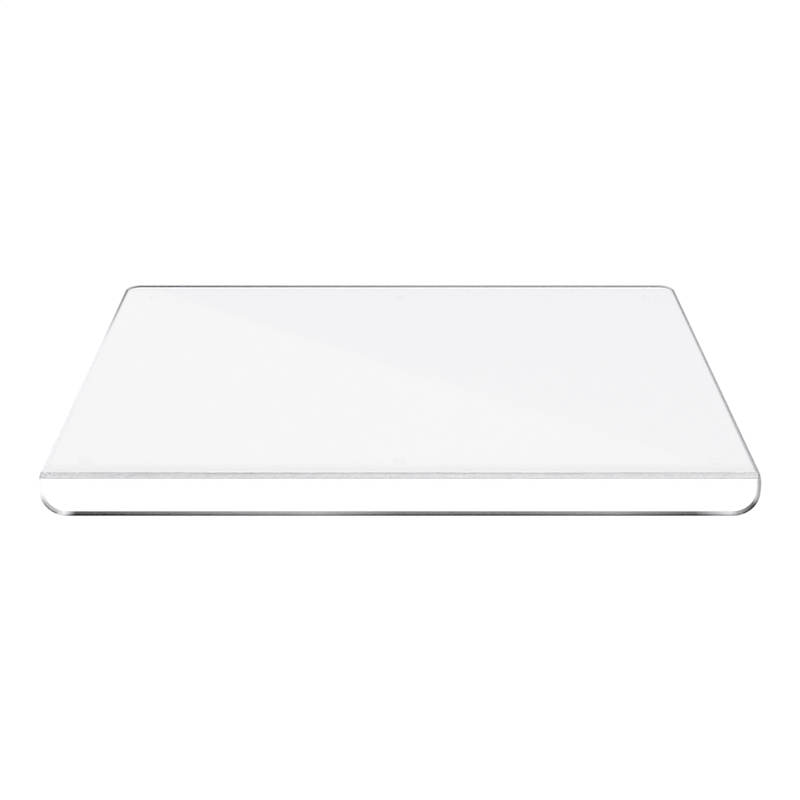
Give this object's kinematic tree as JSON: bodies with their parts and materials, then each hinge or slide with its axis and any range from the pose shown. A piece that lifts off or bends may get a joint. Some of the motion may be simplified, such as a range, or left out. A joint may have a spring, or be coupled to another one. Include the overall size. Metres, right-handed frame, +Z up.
{
  "type": "counter board with front lip",
  "caption": "Clear flat board of bent acrylic sheet whose front lip hooks over a counter or desk edge; small clear pads under it stop it sliding.",
  "frame": {"origin": "centre of the bounding box in X and Y, level with the lip's lower edge; the counter's surface is the plane of the pads' feet, z = 0.0285 m, and the counter's front face is the lip's back face, y = -0.2205 m", "axes": "+X to the user's right along the lip, +Y away from the user across the board, +Z up out of the top face"},
  "size_m": [0.61, 0.457, 0.0385],
  "materials": {
    "clear_acrylic": "polished",
    "clear_silicone": "satin",
    "adhesive_film": "gloss"
  },
  "bodies": {
    "root": {"board_sheet": "clear_acrylic", "pad_front_left": "clear_silicone", "pad_front_middle": "clear_silicone", "pad_front_right": "clear_silicone", "pad_rear_left": "clear_silicone", "pad_rear_middle": "clear_silicone", "pad_rear_right": "clear_silicone", "pad_adhesive_front_left": "adhesive_film", "pad_adhesive_front_middle": "adhesive_film", "pad_adhesive_front_right": "adhesive_film", "pad_adhesive_rear_left": "adhesive_film", "pad_adhesive_rear_middle": "adhesive_film", "pad_adhesive_rear_right": "adhesive_film"}
  },
  "joints": []
}
